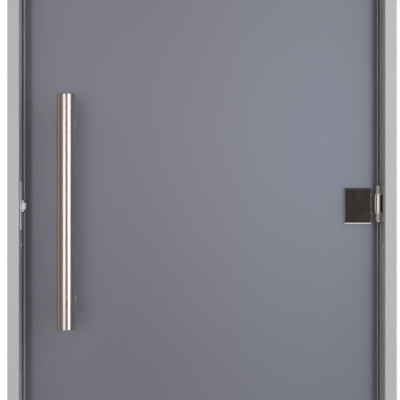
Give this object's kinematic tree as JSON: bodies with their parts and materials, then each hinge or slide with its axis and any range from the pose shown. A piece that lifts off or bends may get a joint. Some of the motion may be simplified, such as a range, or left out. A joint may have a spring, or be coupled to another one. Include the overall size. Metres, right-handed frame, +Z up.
{
  "type": "steam room door",
  "caption": "Frosted glass steam room door in a slim mitred aluminium frame, hung on barrel hinges, with back-to-back tube handles and a sprung roller catch.",
  "frame": {"origin": "middle of the threshold's underside", "axes": "+Z up, +X towards the hinges, -Y towards the side the door opens to"},
  "size_m": [0.69, 0.158, 1.89],
  "materials": {
    "frame": "satin natural anodised extrusion",
    "cleat": "mill finish",
    "seal": "matt extruded bulb seal",
    "glass": "toughened, satin etched, grey",
    "hinge": "polished",
    "pin": "turned and polished",
    "pad": "matt",
    "handle": "satin brushed round the tube",
    "grommet": "translucent",
    "stud": "plain",
    "catch": "satin nickel plated",
    "catch_case": "zinc plated pressing",
    "roller": "turned light grey acetal"
  },
  "bodies": {
    "frame": {"lock_jamb": "frame", "hinge_jamb": "frame", "head": "frame", "threshold": "frame", "lock_stop": "frame", "hinge_stop": "frame", "head_stop": "frame", "threshold_stop": "frame", "corner_cleats": "cleat", "lock_seal": "seal", "hinge_seal": "seal", "head_seal": "seal", "threshold_seal": "seal", "upper_hinge_leaf": "hinge", "middle_hinge_leaf": "hinge", "lower_hinge_leaf": "hinge", "upper_hinge_pin": "pin", "middle_hinge_pin": "pin", "lower_hinge_pin": "pin", "upper_hinge_washers": "pin", "middle_hinge_washers": "pin", "lower_hinge_washers": "pin", "catch_face_plate": "catch", "catch_case": "catch_case"},
    "leaf": {"glass_leaf": "glass", "upper_hinge_front_plate": "hinge", "middle_hinge_front_plate": "hinge", "lower_hinge_front_plate": "hinge", "upper_hinge_back_plate": "hinge", "middle_hinge_back_plate": "hinge", "lower_hinge_back_plate": "hinge", "upper_hinge_pads": "pad", "middle_hinge_pads": "pad", "lower_hinge_pads": "pad", "outer_handle": "handle", "outer_posts": "handle", "inner_handle": "handle", "inner_posts": "handle", "handle_grommets": "grommet", "handle_studs": "stud"},
    "catch_plunger": {"catch_fork": "catch", "catch_axle": "catch"},
    "catch_roller": {"catch_roller": "roller"}
  },
  "joints": [
    {"name": "leaf_hinge", "type": "hinge", "parent": "frame", "child": "leaf", "pos_m": [0.3152, -0.009, 0.949], "axis": [0, 0, 1], "range_deg": [0, 100]},
    {"name": "catch_slide", "type": "slide", "parent": "frame", "child": "catch_plunger", "axis": [-1, 0, 0], "range_m": [0, 0.0065], "stiffness_N_per_m": 1500, "springref_m": -0.008},
    {"name": "roller_spin", "type": "hinge", "parent": "catch_plunger", "child": "catch_roller", "pos_m": [-0.322, -0.00536, 0.945], "axis": [0, 0, 1], "continuous": true}
  ]
}
